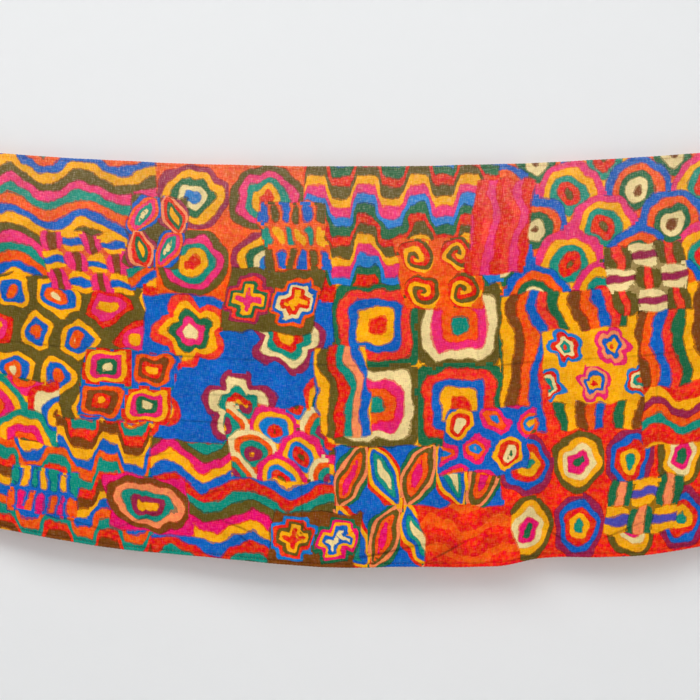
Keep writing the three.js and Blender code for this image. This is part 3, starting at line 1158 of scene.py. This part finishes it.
# The roll is set back, so it stands lower on the face than on the back.
# Columns: how far in from the scarf's edge, how far out of the cloth, and how far along the lean.
FACE_ROUTE = [(5.0, 0.20, -0.4), (4.6, 0.38, -0.15), (4.0, 0.34, 0.1), (3.5, 0.16, 0.35)]
BACK_ROUTE = [(5.4, 0.20, -0.5), (4.9, 0.75, -0.25), (4.0, 1.38, 0.15), (3.2, 1.36, 0.5)]


def sewing_thread():
    """Spun cotton thread: matt, with its two plies as dark and light turns along it, the dark turns
    painted shade in the grooves between the plies.
    """
    material = bpy.data.materials.new("coral_sewing_thread")
    material.use_nodes = True
    tree = material.node_tree
    tree.nodes.clear()
    place = add(tree, "ShaderNodeTexCoord", out="Object")
    plies = {"Vector": place, "Scale": PLY_GRAIN, "Distortion": 2.0}
    plies = add(tree, "ShaderNodeTexWave", plies, "Fac", bands_direction="DIAGONAL")
    # Painted shade: the darker turns are the grooves between the plies.
    colour = {0: plies, 6: linear(THREAD_GROOVE_SHADE), 7: linear(CORAL_THREAD)}
    colour = add(tree, "ShaderNodeMix", colour, 2, data_type="RGBA")
    relief = {"Strength": 0.5, "Distance": PLY_DEPTH * MM, "Height": plies}
    relief = add(tree, "ShaderNodeBump", relief)
    finish = {"Base Color": colour, "Roughness": THREAD_ROUGHNESS, "Normal": relief}
    finish["Sheen Weight"] = THREAD_SHEEN
    surface = add(tree, "ShaderNodeBsdfPrincipled", finish)
    add(tree, "ShaderNodeOutputMaterial", {"Surface": surface}, None)
    return material


def hem_stitches(name, near, inward, upright, face):
    """The stitches of one hem on one face, which is 1 for the printed face and -1 for the back."""
    length = (CLOTH_WIDTH if upright else CLOTH_LENGTH) - 2 * HEM_INSET
    places = stitches_start(upright) + np.arange(STITCH_PITCH / 2, length, STITCH_PITCH)
    outer = near if inward > 0 else near + HEM_WIDTH
    route = np.array(FACE_ROUTE if face > 0 else BACK_ROUTE)
    run = places[:, None] + route[:, 2] * STITCH_LEAN
    across = outer + inward * np.broadcast_to(route[:, 0], run.shape)
    along, down = (across, run) if upright else (run, across)
    out = face * np.broadcast_to(route[:, 1], run.shape)
    path = cloth_point_out(along, down, out)
    ahead = np.gradient(path, axis=1)
    ahead /= np.linalg.norm(ahead, axis=-1, keepdims=True)
    aside = np.cross(ahead, (0.0, 1.0, 0.0))
    aside /= np.linalg.norm(aside, axis=-1, keepdims=True)
    above = np.cross(aside, ahead)
    angle = 2 * math.pi * np.arange(STITCH_SIDES) / STITCH_SIDES
    thick = THREAD_RADIUS * MM * np.array([0, 1, 1, 0])[:, None, None]
    ring = aside[:, :, None] * np.cos(angle)[:, None] + above[:, :, None] * np.sin(angle)[:, None]
    points = path[:, :, None] + thick * ring
    number = np.arange(points[..., 0].size).reshape(points.shape[:3])
    number = np.concatenate([number, number[:, :, :1]], -1)
    quads = np.stack(
        [number[:, :-1, :-1], number[:, :-1, 1:], number[:, 1:, 1:], number[:, 1:, :-1]], -1
    )
    mesh = bpy.data.meshes.new(name)
    mesh.from_pydata(points.reshape(-1, 3).tolist(), [], quads.reshape(-1, 4).tolist())
    weld(mesh)
    mesh.shade_smooth()
    mesh.materials.append(thread)
    piece = bpy.data.objects.new(name, mesh)
    bpy.context.scene.collection.objects.link(piece)
    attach(piece, "root")
    return piece


thread = sewing_thread()
for side, near, inward, upright in HEMS:
    hem_stitches(f"stitches_{side}_face", near, inward, upright, 1)
    hem_stitches(f"stitches_{side}_back", near, inward, upright, -1)

# The stage: a plain pale wall close behind the cloth, and a plain pale floor below, both in matt
# paint. The wall has one side only: it can't be seen from behind, and it casts no shadow itself.
# Their sizes are in metres.
WALL_BEHIND = 13 * MM
WALL_SIZE = (5.0, 3.4)
FLOOR_SIZE = 12.0
FLOOR_LEVEL = -1.3
PAINTED_WALL = "#EEEFF0"
PAINTED_FLOOR = "#E4E4E2"
PAINT_ROUGHNESS = 0.9
PAINT_SPECULAR = 0.2
ROLLER_GRAIN = 220.0
ROLLER_DEPTH = 0.3


def painted(name, hex_colour, one_sided):
    """Matt paint on plaster, with a faint roller texture."""
    material = bpy.data.materials.new(name)
    material.use_nodes = True
    tree = material.node_tree
    tree.nodes.clear()
    place = add(tree, "ShaderNodeTexCoord", out="Object")
    roller = {"Vector": place, "Scale": ROLLER_GRAIN, "Detail": 2.0}
    roller = add(tree, "ShaderNodeTexNoise", roller)
    relief = {"Strength": 0.08, "Distance": ROLLER_DEPTH * MM, "Height": roller}
    relief = add(tree, "ShaderNodeBump", relief)
    finish = {
        "Base Color": linear(hex_colour),
        "Roughness": PAINT_ROUGHNESS,
        "Specular IOR Level": PAINT_SPECULAR,
        "Normal": relief,
    }
    surface = add(tree, "ShaderNodeBsdfPrincipled", finish)
    if one_sided:
        behind = add(tree, "ShaderNodeNewGeometry", out="Backfacing")
        clear = add(tree, "ShaderNodeBsdfTransparent")
        surface = add(tree, "ShaderNodeMixShader", {0: behind, 1: surface, 2: clear})
    add(tree, "ShaderNodeOutputMaterial", {"Surface": surface}, None)
    return material


def flat_stage(name, corner_points, material):
    """A flat piece of the stage between four corners."""
    mesh = bpy.data.meshes.new(name)
    mesh.from_pydata(corner_points, [], [(0, 1, 2, 3)])
    mesh.materials.append(material)
    plane = bpy.data.objects.new(name, mesh)
    bpy.context.scene.collection.objects.link(plane)
    return plane


wall_left = SCARF_MIDDLE - WALL_SIZE[0] / 2
wall_right = SCARF_MIDDLE + WALL_SIZE[0] / 2
wall_corners = [
    (wall_left, WALL_BEHIND, FLOOR_LEVEL),
    (wall_right, WALL_BEHIND, FLOOR_LEVEL),
    (wall_right, WALL_BEHIND, FLOOR_LEVEL + WALL_SIZE[1]),
    (wall_left, WALL_BEHIND, FLOOR_LEVEL + WALL_SIZE[1]),
]
wall = flat_stage("wall", wall_corners, painted("painted_wall", PAINTED_WALL, True))
wall.visible_shadow = False

reach = FLOOR_SIZE / 2
floor_corners = [
    (SCARF_MIDDLE - reach, -reach, FLOOR_LEVEL),
    (SCARF_MIDDLE + reach, -reach, FLOOR_LEVEL),
    (SCARF_MIDDLE + reach, reach, FLOOR_LEVEL),
    (SCARF_MIDDLE - reach, reach, FLOOR_LEVEL),
]
flat_stage("floor", floor_corners, painted("painted_floor", PAINTED_FLOOR, False))

# The light: three broad soft boxes aimed at the middle of the cloth. The main one hangs in front,
# above and to the left, one fills in from the front, and one lights the back.
LIGHT_AIM = Vector((SCARF_MIDDLE, 0, -0.3))

# Columns: name, place (to the right of the scarf's middle, towards the back, and up) and size in
# metres, and watts.
LIGHTS = [
    ("key", (-0.9, -2.6, 2.1), (4.0, 1.8), 80),
    ("front", (0.7, -3.2, 0.55), (3.5, 2.2), 32),
    ("back", (0, 2.2, 1.0), (3.0, 1.6), 30),
]

# The pale room, which lights everything a little from all sides.
PALE_ROOM = "#F2F4F6"
ROOM_STRENGTH = 0.22

for name, (right, back, up), size, watts in LIGHTS:
    data = bpy.data.lights.new(name, "AREA")
    data.shape = "RECTANGLE"
    data.size, data.size_y = size
    data.energy = watts
    light = bpy.data.objects.new(name, data)
    light.location = (SCARF_MIDDLE + right, back, up)
    direction = LIGHT_AIM - light.location
    light.rotation_euler = direction.to_track_quat("-Z", "Y").to_euler()
    bpy.context.scene.collection.objects.link(light)

world = bpy.data.worlds.new("studio")
world.use_nodes = True
room = world.node_tree.nodes["Background"].inputs
room["Color"].default_value = linear(PALE_ROOM)
room["Strength"].default_value = ROOM_STRENGTH
bpy.context.scene.world = world
bpy.context.scene.view_settings.view_transform = "Standard"
